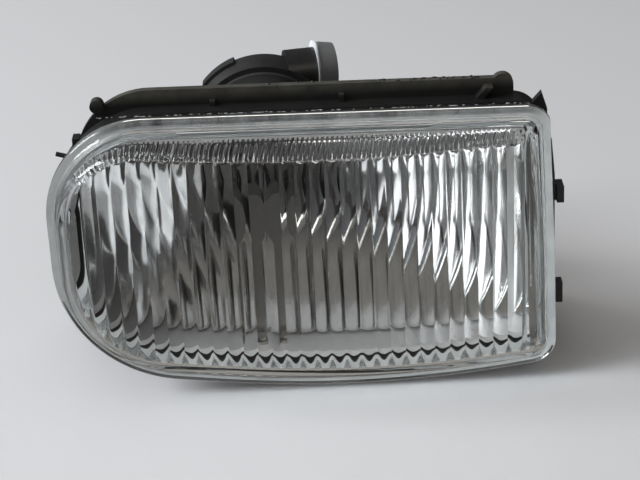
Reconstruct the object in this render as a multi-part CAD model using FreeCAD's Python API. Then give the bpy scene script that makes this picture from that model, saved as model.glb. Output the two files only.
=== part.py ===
import FreeCAD, Part
import math
import os

V = FreeCAD.Vector

# Fog lamp in its mounting bracket. Millimetres.
# Everything is drawn about the lens centre: X to the right seen from the front, Y backwards,
# Z up, y = 0 at the front of the lens flange. Each piece is moved to the resting plane on export.

# ---- how far cutting tools run past a surface ----
OVER = 1.0
FAR = 40.0

# ---- lens outline ----
left_x = -86.0
right_x = 86.0
top_z = 50.0
bottom_z = -56.0
belly_x = 21.0
# corners in (x, z) from the top left, anticlockwise, and the radius of each
OUTLINE = [(left_x, top_z), (left_x, bottom_z + 13.5), (belly_x, bottom_z),
           (right_x, bottom_z + 9.5), (right_x - 1.5, top_z - 2.5)]
OUTLINE_R = [35.0, 45.5, 390.0, 9.0, 9.5]
# the face edge lies inside the outline: left, lower left, lower right, right, top
FACE_INSETS = [5.7, 10.6, 10.3, 9.7, 9.25]
FACE_R = [27.0, 34.0, 330.0, 4.5, 4.5]

# ---- lens ----
face_y = -12.0
face_apex_y = -15.0
face_radius = 620.0
lens_wall = 3.0
wall_inset = 2.5
flange_t = 4.0
flange_width = 7.8
tongue_inset = 5.2
tongue_t = 2.0
tongue_length = 4.0
glue_side = 0.6
glue_bed = 1.6
glue_pad = 0.4

# ---- housing rim and lip ----
rim_front_y = flange_t + glue_pad
rim_back_y = 15.0
groove_in = tongue_inset - glue_side
groove_out = tongue_inset + tongue_t + glue_side
groove_end_y = flange_t + tongue_length + glue_bed
rim_insets = [2.2, 2.6, 2.6, 3.2, -0.6]
rim_skin = 2.0
rim_plate_t = 2.4
groove_wall = 1.3
lip_t = 3.0
lip_left_x = left_x + 10.5
lip_end_x = right_x - 16.0
lip_top_left_z = top_z + 5.9
lip_top_right_z = top_z + 4.0
lip_corner_r = 26.0
lip_depth = 20.0
knob_r = 3.6
knob_z = top_z + 1.8
knob_leg = 9.5

# ---- reflector and housing shell ----
skirt_end_y = 20.0
vertex_y = 64.0
reflector_inset = 11.4
reflector_wall = 1.6
cavity_inset = 9.2
housing_wall = 2.5
bulb_x = left_x + 72.5
bulb_z = 5.0
bulb_hole_r = 14.0
bowl_half_width = (right_x - left_x) / 2 - reflector_inset

# ---- screws that hold the reflector ----
POSTS = [(left_x + 24.0, 16.0), (right_x - 26.0, 14.0), (-2.0, bottom_z + 23.0)]
post_r = 3.0
post_length = 9.0
post_gap = 0.4
post_end_gap = 0.2
post_cap_t = 3.5
post_boss_r = 6.0
screw_r = 1.5
screw_grip = 4.5
screw_head_r = 3.3
screw_head_t = 2.4
screw_gap = 0.3
head_gap = 0.7
tip_gap = 0.8
cross_half = 0.45
press_gap = 0.05
mirror_gap = 0.8

# ---- neck, bayonet ledge ----
neck_root = 6.0
neck_floor_y = vertex_y + 8.0
neck_length = 25.0
neck_end_y = neck_floor_y + neck_length
neck_bore_r = 22.0
neck_r = neck_bore_r + 3.0
ledge_bore_r = neck_bore_r - 3.7
ledge_y = (neck_floor_y + 4.0, neck_floor_y + 7.0)
lug_count = 3
lug_angle = 36.0
lug_gap_angle = 44.0
unlock_angle = 40.0

# ---- bulb and its holder ----
holder_plate_y = neck_end_y + 3.0
holder_plate_t = 7.5
holder_ring_t = 11.0
ring_r = neck_r + 3.5
ring_front_r = ring_r - 1.6
ring_wall = 2.8
cone_t = 5.0
grip_ring_r = ring_r - 0.3
grip_r = 1.3
grip_from = 2.0
pad_middle = -36.0
pad_width = 30.0
hub_r = 9.0
hub_drop = 1.5
plug_r = ledge_bore_r - 0.4
lug_r = neck_bore_r - 0.5
lug_t = 3.2
lug_gap = 0.4
plug_bore_r = 12.5
plug_bore_end_y = ledge_y[0] + 9.2
stem_r = 8.5
stem_length = 9.0
base_flange_t = 8.0
bulb_glass_r = 5.6
bulb_glass_t = 0.9
bulb_tip_y = vertex_y - 28.0
filament_y = bulb_tip_y + 8.6
seal_t = 2.6
seal_gap = 0.1
coil_half = 2.0
coil_past = 0.4
wire_r = 0.45

# ---- plug socket on the holder ----
barrel_angle = 11.0
barrel_start = (bulb_x + 1.5, holder_plate_y + 6.5, bulb_z + ring_r - 6.5)
barrel_from = 7.6
barrel_to = 26.0
barrel_floor = 3.5
barrel_r = 8.2
barrel_bore_r = 6.4
collar_from = barrel_to - 7.0
collar_past = 0.6
collar_gap = 0.1
collar_edge = 0.3
collar_front_r = 10.4
collar_end_r = 9.1
pin_z = 2.6
pin_root = 1.2
pin_width = 3.0
pin_t = 0.8
pin_to = barrel_to - 5.5

# ---- bulb shield ----
shield_r = 9.5
shield_y = (17.0, 29.0)
shield_t = 1.0
strap_width = 7.0
foot_front = 3.0
rivet_y = 13.0
rivet_r = 1.5
rivet_gap = 0.1
rivet_head_r = 2.5
rivet_head_t = 1.0
rivet_short = 0.2
foot_t = 1.1

# ---- pivots ----
pivot_y = 30.0
pivot_z = 0.0
pivot_r = 3.0
bush_r = pivot_r + 1.6
boss_r = pivot_r + 4.0
running_gap = 0.06
body_gap = 0.3
arm_gap = 0.6
arm_t = 2.5
RIGHT_ARM_X = (right_x - 2.5, right_x - 2.5 + arm_t)
LEFT_ARM_X = (left_x + 1.8 - arm_t, left_x + 1.8)
pin_depth = 7.5
pin_head_t = 1.7
pin_head_edge = 0.6
slot_half = 0.5
bush_gap = 0.02
boss_root = 26.0

# ---- bracket ----
rest_z = bottom_z
plate_t = 3.0
base_mid_y = 49.0
base_front_y = 17.0
base_rear_y = 82.0
fixing_x = 45.0
fixing_r = 3.2
tag_half_x = 7.5
tag_half_y = 6.0
tag_t = 1.6
plate_nut_t = 5.0
plate_nut_wall = 2.2

tab_reach = 2.9
tab_back_y = 12.0
UPPER_TAB_Z = (10.6, 16.5)
LOWER_TAB_Z = (-28.0, -20.4)

# ---- aiming screw ----
aim_x = 30.0
aim_arm = -bottom_z - 16.0
aim_r = 2.4
nut_half = 4.5
nut_t = 6.0
nut_gap = 0.3
nut_slack_y = 0.45
nut_slack_z = 1.4
lug_wall = 3.0
lug_side = 3.5
lug_rise = 10.0
web_half = 1.2
nut_clear = 1.5
nut_side_gap = 0.4
pocket_drop = 12.0
slot_gap = 0.7
slot_rise = 1.6
aim_tip_in = 2.2
aim_bush_r = aim_r + 2.1
bush_past = 0.4
clip_t = 1.2
clip_edge = 2.4
washer_gap = 0.7
washer_t = 1.2
washer_edge = 4.0
hexagon_edge = 2.5
hexagon_t = 5.0
driver_depth = 1.6
driver_half = 0.6
aim_plate_gap = 11.0
aim_plate_t = 3.0
gusset_leg = 13.0

# ---- vent ----
vent_x = 30.0
vent_z = 20.0
vent_r = 3.5
vent_bore_r = 1.5
vent_stand = 6.0
vent_root = 14.0
vent_depth = 20.0
vent_plug = 3.5
cap_gap = 0.1
cap_t = 5.0
cap_r = vent_r + 2.1


# ============================ outline helpers ============================

def side_line(start, end, distance):
    """A point on the side moved inwards by distance, and the side's direction."""
    dx = end[0] - start[0]
    dz = end[1] - start[1]
    length = math.hypot(dx, dz)
    dx = dx / length
    dz = dz / length
    return (start[0] - dz * distance, start[1] + dx * distance), (dx, dz)


def meet(first, second):
    """Where two lines, each a point and a direction, cross."""
    (px, pz), (dx, dz) = first
    (qx, qz), (ex, ez) = second
    cross = dx * ez - dz * ex
    along = ((qx - px) * ez - (qz - pz) * ex) / cross
    return (px + dx * along, pz + dz * along)


def moved_sides(corners, distances):
    """The polygon with each side moved inwards by its own distance."""
    count = len(corners)
    lines = []
    for i in range(count):
        lines.append(side_line(corners[i], corners[(i + 1) % count], distances[i]))
    return [meet(lines[i - 1], lines[i]) for i in range(count)]


def inset(shape, distance):
    """The rounded polygon moved inwards all round."""
    corners, radii = shape
    moved = moved_sides(corners, [distance] * len(corners))
    return moved, [max(r - distance, 0.6) for r in radii]


def edge(distance):
    """The lens outline moved inwards."""
    return inset((OUTLINE, OUTLINE_R), distance)


def round_polygon(centre, radius):
    """The polygon with the outline's side directions that touches a circle."""
    count = len(OUTLINE)
    lines = []
    for i in range(count):
        way = side_line(OUTLINE[i], OUTLINE[(i + 1) % count], 0.0)[1]
        lines.append(((centre[0] + way[1] * radius, centre[1] - way[0] * radius), way))
    return [meet(lines[i - 1], lines[i]) for i in range(count)], [0.97 * radius] * count


def blend(first, second, share):
    """A rounded polygon part of the way from one to the other."""
    corners = []
    radii = []
    for a, b in zip(first[0], second[0]):
        corners.append((a[0] + (b[0] - a[0]) * share, a[1] + (b[1] - a[1]) * share))
    for a, b in zip(first[1], second[1]):
        radii.append(max(a + (b - a) * share, 0.6))
    return corners, radii


def wire_at(y, shape):
    """Closed wire of lines and arcs for a rounded polygon at depth y."""
    corners, radii = shape
    count = len(corners)
    ways = [side_line(corners[i], corners[(i + 1) % count], 0.0)[1] for i in range(count)]
    arcs = []
    for i in range(count):
        before = ways[i - 1]
        after = ways[i]
        turn = math.acos(max(-1.0, min(1.0, before[0] * after[0] + before[1] * after[1])))
        reach = radii[i] * math.tan(turn / 2)
        middle_x = after[0] - before[0]
        middle_z = after[1] - before[1]
        length = math.hypot(middle_x, middle_z)
        to_arc = radii[i] / math.cos(turn / 2) - radii[i]
        corner_x, corner_z = corners[i]
        start = V(corner_x - before[0] * reach, y, corner_z - before[1] * reach)
        middle = V(corner_x + middle_x / length * to_arc, y, corner_z + middle_z / length * to_arc)
        end = V(corner_x + after[0] * reach, y, corner_z + after[1] * reach)
        arcs.append((start, middle, end))
    edges = []
    for i in range(count):
        start, middle, end = arcs[i]
        edges.append(Part.Arc(start, middle, end).toShape())
        edges.append(Part.makeLine(end, arcs[(i + 1) % count][0]))
    return Part.Wire(edges)


def prism(y_from, y_to, shape):
    """Straight block with a rounded polygon section."""
    return Part.Face(wire_at(y_from, shape)).extrude(V(0, y_to - y_from, 0))


def band(y_from, y_to, outer_inset, inner_inset):
    """Ring between two insets of the lens outline."""
    return prism(y_from, y_to, edge(outer_inset)).cut(prism(y_from - OVER, y_to + OVER, edge(inner_inset)))


def loft(levels, ruled=False):
    """Solid through (depth, rounded polygon) levels."""
    return Part.makeLoft([wire_at(y, shape) for y, shape in levels], True, ruled)


# ============================ general helpers ============================

def rod(start, way, length, radius):
    """Cylinder from a point."""
    return Part.makeCylinder(radius, length, V(*start), V(*way))


def tube(start, way, length, outer, inner):
    """Ring or tube from a point."""
    return rod(start, way, length, outer).cut(rod(start, way, length, inner))


def on_bulb_axis(y_from, y_to, radius):
    """Cylinder on the bulb's axis."""
    return rod((bulb_x, y_from, bulb_z), (0, 1, 0), y_to - y_from, radius)


def block(x, y, z):
    """Box between pairs of limits."""
    return Part.makeBox(x[1] - x[0], y[1] - y[0], z[1] - z[0], V(x[0], y[0], z[0]))


def plate(points, push):
    """Flat plate from its corners and the vector that gives it thickness."""
    corners = [V(*p) for p in points]
    return Part.Face(Part.makePolygon(corners + corners[:1])).extrude(V(*push))


def side_plate(x, points):
    """Plate across X with a (y, z) outline."""
    return plate([(x[0], y, z) for y, z in points], (x[1] - x[0], 0, 0))


def floor_plate(z, points):
    """Plate across Z with an (x, y) outline."""
    return plate([(x, y, z[0]) for x, y in points], (0, 0, z[1] - z[0]))


def front_plate(y, points):
    """Plate across Y with an (x, z) outline."""
    return plate([(x, y[0], z) for x, z in points], (0, y[1] - y[0], 0))


def sector(y, radius, middle, width):
    """Pie slice about the bulb axis; angles in degrees from straight up."""
    points = [(bulb_x, bulb_z)]
    steps = 4
    reach = 1.3 * radius
    for i in range(steps + 1):
        angle = math.radians(middle - width / 2 + width * i / steps)
        points.append((bulb_x + reach * math.sin(angle), bulb_z + reach * math.cos(angle)))
    return front_plate(y, points).common(on_bulb_axis(y[0], y[1], radius))


def deepest(solid, x, z):
    """How far back a solid reaches on the line through (x, z)."""
    line = Part.makeLine(V(x, -50, z), V(x, 300, z))
    return line.common(solid).BoundBox.YMax


def write(name, shape):
    """Move one piece to the resting plane and write its STEP file."""
    shape = shape.removeSplitter()
    shape.translate(V(0, -base_mid_y, -rest_z))
    shape.exportStep("parts/" + name + ".step")


# ============================ bowl shapes ============================

def bowl(offset, first_shift, last_shift):
    """The dished bowl, grown by offset and moved back by the shifts at its front and back."""
    start = edge(reflector_inset - offset)
    end = round_polygon((bulb_x, bulb_z), bulb_hole_r + offset)
    spread = bowl_half_width ** 2 - bulb_hole_r ** 2
    levels = []
    steps = 6
    for i in range(steps + 1):
        share = (i / steps) ** 0.8
        y = skirt_end_y + (vertex_y - skirt_end_y) * share
        width = math.sqrt(bulb_hole_r ** 2 + spread * (1 - share))
        closed = 1 - (width - bulb_hole_r) / (bowl_half_width - bulb_hole_r)
        shift = first_shift + (last_shift - first_shift) * share
        levels.append((y + shift, blend(start, end, closed)))
    return loft(levels)


SHELL_START = 2.0
MIRROR_BOWL = bowl(0.0, 0.0, 0.0)
CAVITY_BOWL = bowl(reflector_inset - cavity_inset, SHELL_START, 4.0)
OUTER_BOWL = bowl(reflector_inset - cavity_inset + housing_wall, SHELL_START, 4.0 + housing_wall)

POST_ENDS = [round(deepest(MIRROR_BOWL, x, z), 1) + post_length for x, z in POSTS]
nut_front_y = round(deepest(CAVITY_BOWL, aim_x, -aim_arm + nut_half + nut_slack_z) + nut_clear, 1)
nut_back_y = nut_front_y + nut_t
aim_tip_y = nut_front_y + aim_tip_in
aim_plate_front_y = nut_back_y + aim_plate_gap
aim_plate_back_y = aim_plate_front_y + aim_plate_t
fixing_y = aim_plate_front_y - tag_half_y - body_gap - 0.3
vent_seat_y = deepest(OUTER_BOWL, vent_x, vent_z) + vent_stand


# ============================ lens ============================

def lens_section(share, wall):
    """Side wall outline: 0 at the flange, 1 at the face edge."""
    face = inset((moved_sides(OUTLINE, FACE_INSETS), FACE_R), wall)
    return blend(edge(wall_inset + wall), face, share)


def lens_block(wall):
    """Solid inside the side wall and behind the large sphere of the face."""
    past_face = (face_apex_y - OVER) / face_y
    levels = [(0.0, lens_section(0, wall)), (face_y * past_face, lens_section(past_face, wall))]
    ball = Part.makeSphere(face_radius, V(0, face_apex_y + wall + face_radius, 0))
    return loft(levels, True).common(ball)


def make_lens():
    flange = band(0.0, flange_t, 0.0, flange_width)
    tongue = band(flange_t, flange_t + tongue_length, tongue_inset, tongue_inset + tongue_t)
    return lens_block(0.0).cut(lens_block(lens_wall)).fuse([flange, tongue])


def make_sealant():
    """Bead in the groove round the tongue, and the film squeezed out under the flange."""
    slack = 0.1
    bead = band(flange_t + slack / 2, groove_end_y - slack / 2, groove_in + slack, groove_out - slack)
    film = band(flange_t + slack / 2, rim_front_y - slack / 2, 0.8, cavity_inset - slack)
    room = band(0.0, flange_t + tongue_length + slack, tongue_inset - slack, tongue_inset + tongue_t + slack)
    return bead.fuse(film).cut(room)


# ============================ housing ============================

def groove_ring():
    """The channel that takes the lens's tongue and its sealant."""
    return band(0.0, groove_end_y, groove_in, groove_out)


def make_rim():
    """Front rim of the housing, hollow from behind where it is wide enough."""
    corners = moved_sides(OUTLINE, rim_insets)
    rim = prism(rim_front_y, rim_back_y, (corners, OUTLINE_R))
    hollow_shape = inset((corners, OUTLINE_R), rim_skin)
    hollow = prism(rim_front_y + rim_plate_t, rim_back_y + OVER, hollow_shape)
    kept = prism(rim_front_y, rim_back_y + 2 * OVER, edge(groove_in - groove_wall))
    return rim.cut(hollow.cut(kept))


def make_lip():
    """Raised collar wall along the top and round the upper left, with its thick right end."""
    y = (rim_back_y - lip_t, rim_back_y)
    low = top_z - lip_depth
    corners = [(lip_left_x, lip_top_left_z), (lip_left_x, low), (0.0, low - 1.0),
               (lip_end_x, low), (lip_end_x, lip_top_right_z)]
    lip = prism(y[0], y[1], (corners, [lip_corner_r, 1.0, 1.0, 1.0, 3.5]))
    lip = lip.cut(prism(0.0, y[1] + OVER, edge(groove_in)))
    knob_x = lip_end_x - 1.0
    knob = rod((knob_x, y[0], knob_z), (0, 1, 0), lip_t, knob_r)
    leg = block((knob_x - knob_r, knob_x + knob_r), y, (knob_z - knob_leg, knob_z))
    return lip.fuse([knob, leg])


def make_rim_details():
    """Snap fin, end block, peg and the small ribs in front of the lip."""
    fin_points = [(-11.0, -10.0), (-7.6, -4.0), (-4.4, -0.4), (-2.6, -6.2), (-2.6, -14.0), (-5.4, -16.0)]
    fin = front_plate((8.0, 11.0), [(right_x + x, top_z + z) for x, z in fin_points])
    peg = rod((left_x + 4.0, 12.0, top_z - 15.4), (0.96, 0, -0.28), 9.0, 0.8)
    stop = block((left_x + 10.2, left_x + 12.6), (9.5, rim_back_y), (top_z - 17.0, top_z - 9.6))
    stud = rod((left_x + 19.2, 11.0, top_z + 0.8), (0, 1, 0), rim_back_y - 11.0, 2.3)
    pieces = [peg, stop, stud]
    for x in (-28.0, 15.0):
        pieces.append(block((x - 0.9, x + 0.9), (9.5, 13.0), (top_z - 3.0, top_z + 1.6)))
    slant_points = [(-27.5, -3.0), (-25.0, -3.0), (-20.6, 2.2), (-23.1, 2.2)]
    pieces.append(front_plate((7.5, 13.0), [(right_x + x, top_z + z) for x, z in slant_points]))
    return fin.fuse(pieces)


def make_bosses():
    """Everything that stands out of the shell: post bosses, pivot bosses, aiming lug, vent."""
    pieces = []
    for (x, z), end in zip(POSTS, POST_ENDS):
        pieces.append(rod((x, skirt_end_y, z), (0, 1, 0), end + post_cap_t - skirt_end_y, post_boss_r))
    right_end = RIGHT_ARM_X[0] - arm_gap
    left_end = LEFT_ARM_X[1] + arm_gap
    right_start = right_x - boss_root
    pieces.append(rod((right_start, pivot_y, pivot_z), (1, 0, 0), right_end - right_start, boss_r))
    pieces.append(rod((left_end, pivot_y, pivot_z), (1, 0, 0), left_x + boss_root - left_end, boss_r))
    half = nut_half + lug_side
    lug_low = -aim_arm - half
    pieces.append(block((aim_x - half, aim_x + half), (nut_front_y - lug_wall, nut_back_y + lug_wall),
                        (lug_low, -aim_arm + lug_rise)))
    for way in (-1, 1):
        x = aim_x + way * (half - web_half)
        web = [(nut_front_y - 12, lug_low + 10), (nut_front_y - lug_wall, lug_low),
               (nut_front_y + 4, lug_low + 22)]
        pieces.append(side_plate((x - web_half, x + web_half), web))
    pieces.append(rod((vent_x, vent_seat_y - vent_root, vent_z), (0, 1, 0), vent_root + vent_plug, vent_r))
    return pieces


def cut_aiming_pocket(body):
    """Pocket and slot in the lug, where the aiming nut sits with room to follow the tilt."""
    side = nut_half + nut_side_gap
    pocket = block((aim_x - side, aim_x + side), (nut_front_y - nut_slack_y, nut_back_y + nut_slack_y),
                   (-aim_arm - nut_half - pocket_drop, -aim_arm + nut_half + nut_slack_z))
    slot_side = aim_r + slot_gap
    slot = block((aim_x - slot_side, aim_x + slot_side), (nut_back_y, nut_back_y + lug_wall + OVER),
                 (-aim_arm - nut_half - pocket_drop, -aim_arm + aim_r + slot_rise))
    return body.cut(pocket).cut(slot)


def make_ledge():
    """Inner ring of the neck that the holder's lugs turn behind."""
    ledge = on_bulb_axis(ledge_y[0], ledge_y[1], neck_bore_r + OVER)
    ledge = ledge.cut(on_bulb_axis(ledge_y[0] - OVER, ledge_y[1] + OVER, ledge_bore_r))
    for i in range(lug_count):
        middle = i * 360.0 / lug_count + unlock_angle
        ledge = ledge.cut(sector((ledge_y[0] - OVER, ledge_y[1] + OVER), neck_bore_r, middle, lug_gap_angle))
    return ledge


def make_housing():
    skirt = prism(rim_front_y, skirt_end_y + SHELL_START, edge(cavity_inset - housing_wall))
    neck = on_bulb_axis(vertex_y - neck_root, neck_end_y, neck_r)
    body = skirt.fuse([OUTER_BOWL, neck] + make_bosses())
    skirt_cavity = prism(0.0, skirt_end_y + SHELL_START, edge(cavity_inset))
    body = body.cut(skirt_cavity.fuse(CAVITY_BOWL))
    body = body.cut(on_bulb_axis(vertex_y - neck_root, neck_floor_y + OVER, ledge_bore_r))
    body = body.cut(on_bulb_axis(neck_floor_y, neck_end_y + OVER, neck_bore_r)).fuse(make_ledge())
    for (x, z), end in zip(POSTS, POST_ENDS):
        start = (x, skirt_end_y, z)
        body = body.cut(rod(start, (0, 1, 0), end + post_end_gap - skirt_end_y, post_r + post_gap))
        body = body.cut(rod(start, (0, 1, 0), FAR, screw_r + screw_gap))
        body = body.cut(rod((x, end + post_cap_t, z), (0, 1, 0), FAR, screw_head_r + head_gap))
    for way, arm_x in ((1, RIGHT_ARM_X[0]), (-1, LEFT_ARM_X[1])):
        start = (arm_x - way * (pin_depth + body_gap), pivot_y, pivot_z)
        body = body.cut(rod(start, (way, 0, 0), FAR, pivot_r + press_gap))
    body = cut_aiming_pocket(body)
    body = body.cut(rod((vent_x, vent_seat_y - vent_depth, vent_z), (0, 1, 0), FAR, vent_bore_r))
    rim = make_rim().fuse(make_lip()).cut(prism(0.0, rim_back_y + OVER, edge(cavity_inset)))
    return body.fuse([rim, make_rim_details()]).cut(groove_ring())


def make_vent_cap():
    start = (vent_x, vent_seat_y, vent_z)
    cap = rod(start, (0, 1, 0), cap_t, cap_r)
    return cap.cut(rod(start, (0, 1, 0), vent_plug + cap_gap, vent_r + press_gap))


# ============================ reflector ============================

def make_reflector():
    front_y = rim_front_y + mirror_gap
    outer = prism(front_y, skirt_end_y, edge(reflector_inset - reflector_wall))
    outer = outer.fuse(bowl(reflector_wall, 0.0, reflector_wall))
    for (x, z), end in zip(POSTS, POST_ENDS):
        outer = outer.fuse(rod((x, skirt_end_y, z), (0, 1, 0), end - skirt_end_y, post_r))
    inner = prism(0.0, skirt_end_y, edge(reflector_inset)).fuse(MIRROR_BOWL)
    body = outer.cut(inner).cut(on_bulb_axis(vertex_y - neck_root, neck_floor_y, bulb_hole_r))
    for (x, z), end in zip(POSTS, POST_ENDS):
        body = body.cut(rod((x, end - screw_grip - tip_gap, z), (0, 1, 0), FAR, screw_r + press_gap))
    return body.cut(rivet_hole())


def make_reflector_screw(x, z, end):
    seat_y = end + post_cap_t
    shank = rod((x, end - screw_grip, z), (0, 1, 0), screw_grip + post_cap_t, screw_r)
    head = rod((x, seat_y, z), (0, 1, 0), screw_head_t, screw_head_r)
    cross_y = (seat_y + 0.7 * screw_head_t, seat_y + screw_head_t + OVER)
    reach = screw_head_r + OVER
    flat = block((x - reach, x + reach), cross_y, (z - cross_half, z + cross_half))
    upright = block((x - cross_half, x + cross_half), cross_y, (z - reach, z + reach))
    return shank.fuse(head).cut(flat).cut(upright)


def rivet_hole():
    """Tool for the hole through the skirt and the shield's foot."""
    return rod((bulb_x, rivet_y, bottom_z), (0, 0, 1), 40.0, rivet_r + rivet_gap)


def shield_foot():
    """Strip that lies on the reflector's skirt and follows its curve."""
    ring = band(rivet_y - foot_front, shield_y[0] + shield_t, reflector_inset, reflector_inset + foot_t)
    side = strap_width / 2
    return ring.common(block((bulb_x - side, bulb_x + side), (0.0, skirt_end_y), (bottom_z, 0.0)))


def make_shield():
    foot = shield_foot()
    cup = on_bulb_axis(shield_y[0], shield_y[1], shield_r)
    cup = cup.cut(on_bulb_axis(shield_y[0] + shield_t, shield_y[1] + OVER, shield_r - shield_t))
    side = strap_width / 2
    strap = block((bulb_x - side, bulb_x + side), (shield_y[0], shield_y[0] + shield_t),
                  (foot.BoundBox.ZMin + foot_t / 2, bulb_z - shield_r + 2 * shield_t))
    strap = strap.common(prism(0.0, skirt_end_y, edge(reflector_inset)))
    return cup.fuse([strap, foot]).cut(rivet_hole())


def make_rivet():
    foot = shield_foot()
    bottom = foot.BoundBox.ZMin - reflector_wall + rivet_short
    shank = rod((bulb_x, rivet_y, bottom), (0, 0, 1), foot.BoundBox.ZMax - bottom, rivet_r)
    return shank.fuse(rod((bulb_x, rivet_y, foot.BoundBox.ZMax), (0, 0, 1), rivet_head_t, rivet_head_r))


# ============================ pivots ============================

def make_pivot_pin(way):
    """Shoulder pin through an arm into the housing boss; way is 1 on the right, -1 on the left."""
    arm_in, arm_out = RIGHT_ARM_X if way > 0 else (LEFT_ARM_X[1], LEFT_ARM_X[0])
    inner_end = arm_in - way * pin_depth
    seat = arm_out + way * 2 * body_gap
    shank = rod((inner_end, pivot_y, pivot_z), (way, 0, 0), abs(seat - inner_end), pivot_r)
    head = rod((seat, pivot_y, pivot_z), (way, 0, 0), pin_head_t, bush_r + pin_head_edge)
    slot_x = seat + way * pin_head_t
    slot = block((slot_x - slot_half, slot_x + slot_half), (pivot_y - boss_r, pivot_y + boss_r),
                 (pivot_z - slot_half, pivot_z + slot_half))
    return shank.fuse(head).cut(slot)


def make_pivot_bush(way):
    arm_in = RIGHT_ARM_X[0] if way > 0 else LEFT_ARM_X[1]
    start = (arm_in - way * body_gap, pivot_y, pivot_z)
    return tube(start, (way, 0, 0), arm_t + 1.9 * body_gap, bush_r - bush_gap, pivot_r + running_gap)


# ============================ bulb and holder ============================

def barrel_rod(start, end, radius, end_radius=None):
    """Cylinder or cone on the socket's axis, between two distances along it."""
    angle = math.radians(barrel_angle)
    way = V(math.cos(angle), math.sin(angle), 0)
    foot = V(*barrel_start) + way * start
    if end_radius is None:
        return Part.makeCylinder(radius, end - start, foot, way)
    return Part.makeCone(radius, end_radius, end - start, foot, way)


def pin_box(start, end, slack, z):
    """One flat terminal, or the slot for it."""
    width = pin_width + slack
    height = pin_t + slack
    box = Part.makeBox(end - start, width, height, V(start, -width / 2, z - height / 2))
    box.rotate(V(0, 0, 0), V(0, 0, 1), barrel_angle)
    box.translate(V(*barrel_start))
    return box


def make_grips():
    """Finger ribs round the holder, and the raised pad at its upper left."""
    pieces = []
    count = 12
    for i in range(count):
        angle = math.radians(100.0 + i * 17.0)
        x = bulb_x + grip_ring_r * math.sin(angle)
        z = bulb_z + grip_ring_r * math.cos(angle)
        pieces.append(rod((x, holder_plate_y + grip_from, z), (0, 1, 0), holder_ring_t - grip_from, grip_r))
    pad_y = (holder_plate_y + cone_t, holder_plate_y + holder_ring_t)
    pad = sector(pad_y, ring_r + grip_r, pad_middle, pad_width)
    pieces.append(pad.cut(on_bulb_axis(pad_y[0] - OVER, pad_y[1] + OVER, ring_r - ring_wall / 2)))
    return pieces


def make_bulb_holder():
    lug_y = (ledge_y[0] - lug_gap - lug_t, ledge_y[0] - lug_gap)
    ring_end_y = holder_plate_y + holder_ring_t
    plug = on_bulb_axis(lug_y[0], holder_plate_y + OVER, plug_r)
    pieces = []
    for i in range(lug_count):
        pieces.append(sector(lug_y, lug_r, i * 360.0 / lug_count, lug_angle))
    pieces.append(Part.makeCone(ring_front_r, ring_r, cone_t, V(bulb_x, holder_plate_y, bulb_z), V(0, 1, 0)))
    pieces.append(on_bulb_axis(holder_plate_y + cone_t, holder_plate_y + holder_plate_t, ring_r))
    ring = on_bulb_axis(holder_plate_y + cone_t, ring_end_y, ring_r)
    pieces.append(ring.cut(on_bulb_axis(holder_plate_y, ring_end_y + OVER, ring_r - ring_wall)))
    pieces.append(on_bulb_axis(holder_plate_y, ring_end_y - hub_drop, hub_r))
    pieces.extend(make_grips())
    body = plug.fuse(pieces)
    room = (collar_from - 5 * collar_gap, barrel_to + 5 * OVER)
    body = body.cut(barrel_rod(room[0], room[1], collar_front_r + 2 * collar_edge))
    behind = block((left_x, right_x), (holder_plate_y, holder_plate_y + FAR), (bottom_z, top_z + FAR))
    body = body.fuse(barrel_rod(barrel_from, barrel_to, barrel_r).common(behind))
    body = body.cut(on_bulb_axis(lug_y[0] - OVER, plug_bore_end_y, plug_bore_r))
    body = body.cut(barrel_rod(barrel_from + barrel_floor, barrel_to + OVER, barrel_bore_r))
    for z in (-pin_z, pin_z):
        body = body.cut(pin_box(barrel_from + OVER, barrel_from + barrel_floor + OVER, 0.1, z))
    return body


def make_holder_seal():
    front_y = holder_plate_y - seal_t
    return on_bulb_axis(front_y, holder_plate_y, neck_r - seal_gap).cut(
        on_bulb_axis(front_y - OVER, holder_plate_y + OVER, neck_bore_r + 4 * seal_gap))


def make_socket_collar():
    end = barrel_to + collar_past
    shell = barrel_rod(collar_from, end, collar_front_r, collar_end_r)
    edge_ring = barrel_rod(collar_from, collar_from + 2 * collar_edge, collar_front_r + collar_edge)
    return shell.fuse(edge_ring).cut(barrel_rod(collar_from - OVER, end + OVER, barrel_r + collar_gap))


def make_terminals():
    return Part.makeCompound([pin_box(barrel_from + pin_root, pin_to, 0.0, z) for z in (-pin_z, pin_z)])


def make_bulb_base():
    flange = on_bulb_axis(plug_bore_end_y - base_flange_t, plug_bore_end_y, plug_bore_r - seal_gap)
    return flange.fuse(on_bulb_axis(bulb_front_y(), plug_bore_end_y - base_flange_t + OVER, stem_r))


def bulb_front_y():
    """Front of the bulb's metal base, where the glass starts."""
    return plug_bore_end_y - base_flange_t - stem_length


def capsule(radius, end_y):
    """Round-ended rod from the bulb's tip."""
    start_y = bulb_tip_y + bulb_glass_r
    ball = Part.makeSphere(radius, V(bulb_x, start_y, bulb_z))
    return on_bulb_axis(start_y, end_y, radius).fuse(ball)


def make_bulb_glass():
    hollow = capsule(bulb_glass_r - bulb_glass_t, bulb_front_y() + OVER)
    return capsule(bulb_glass_r, bulb_front_y()).cut(hollow)


def make_filament():
    wires = []
    for x in (-coil_half, coil_half):
        start = (bulb_x + x, filament_y, bulb_z)
        wires.append(rod(start, (0, 1, 0), bulb_front_y() - filament_y, wire_r))
    length = 2 * (coil_half + coil_past)
    return rod((bulb_x - length / 2, filament_y, bulb_z), (1, 0, 0), length, 2 * wire_r).fuse(wires)


# ============================ bracket and aiming screw ============================

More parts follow.
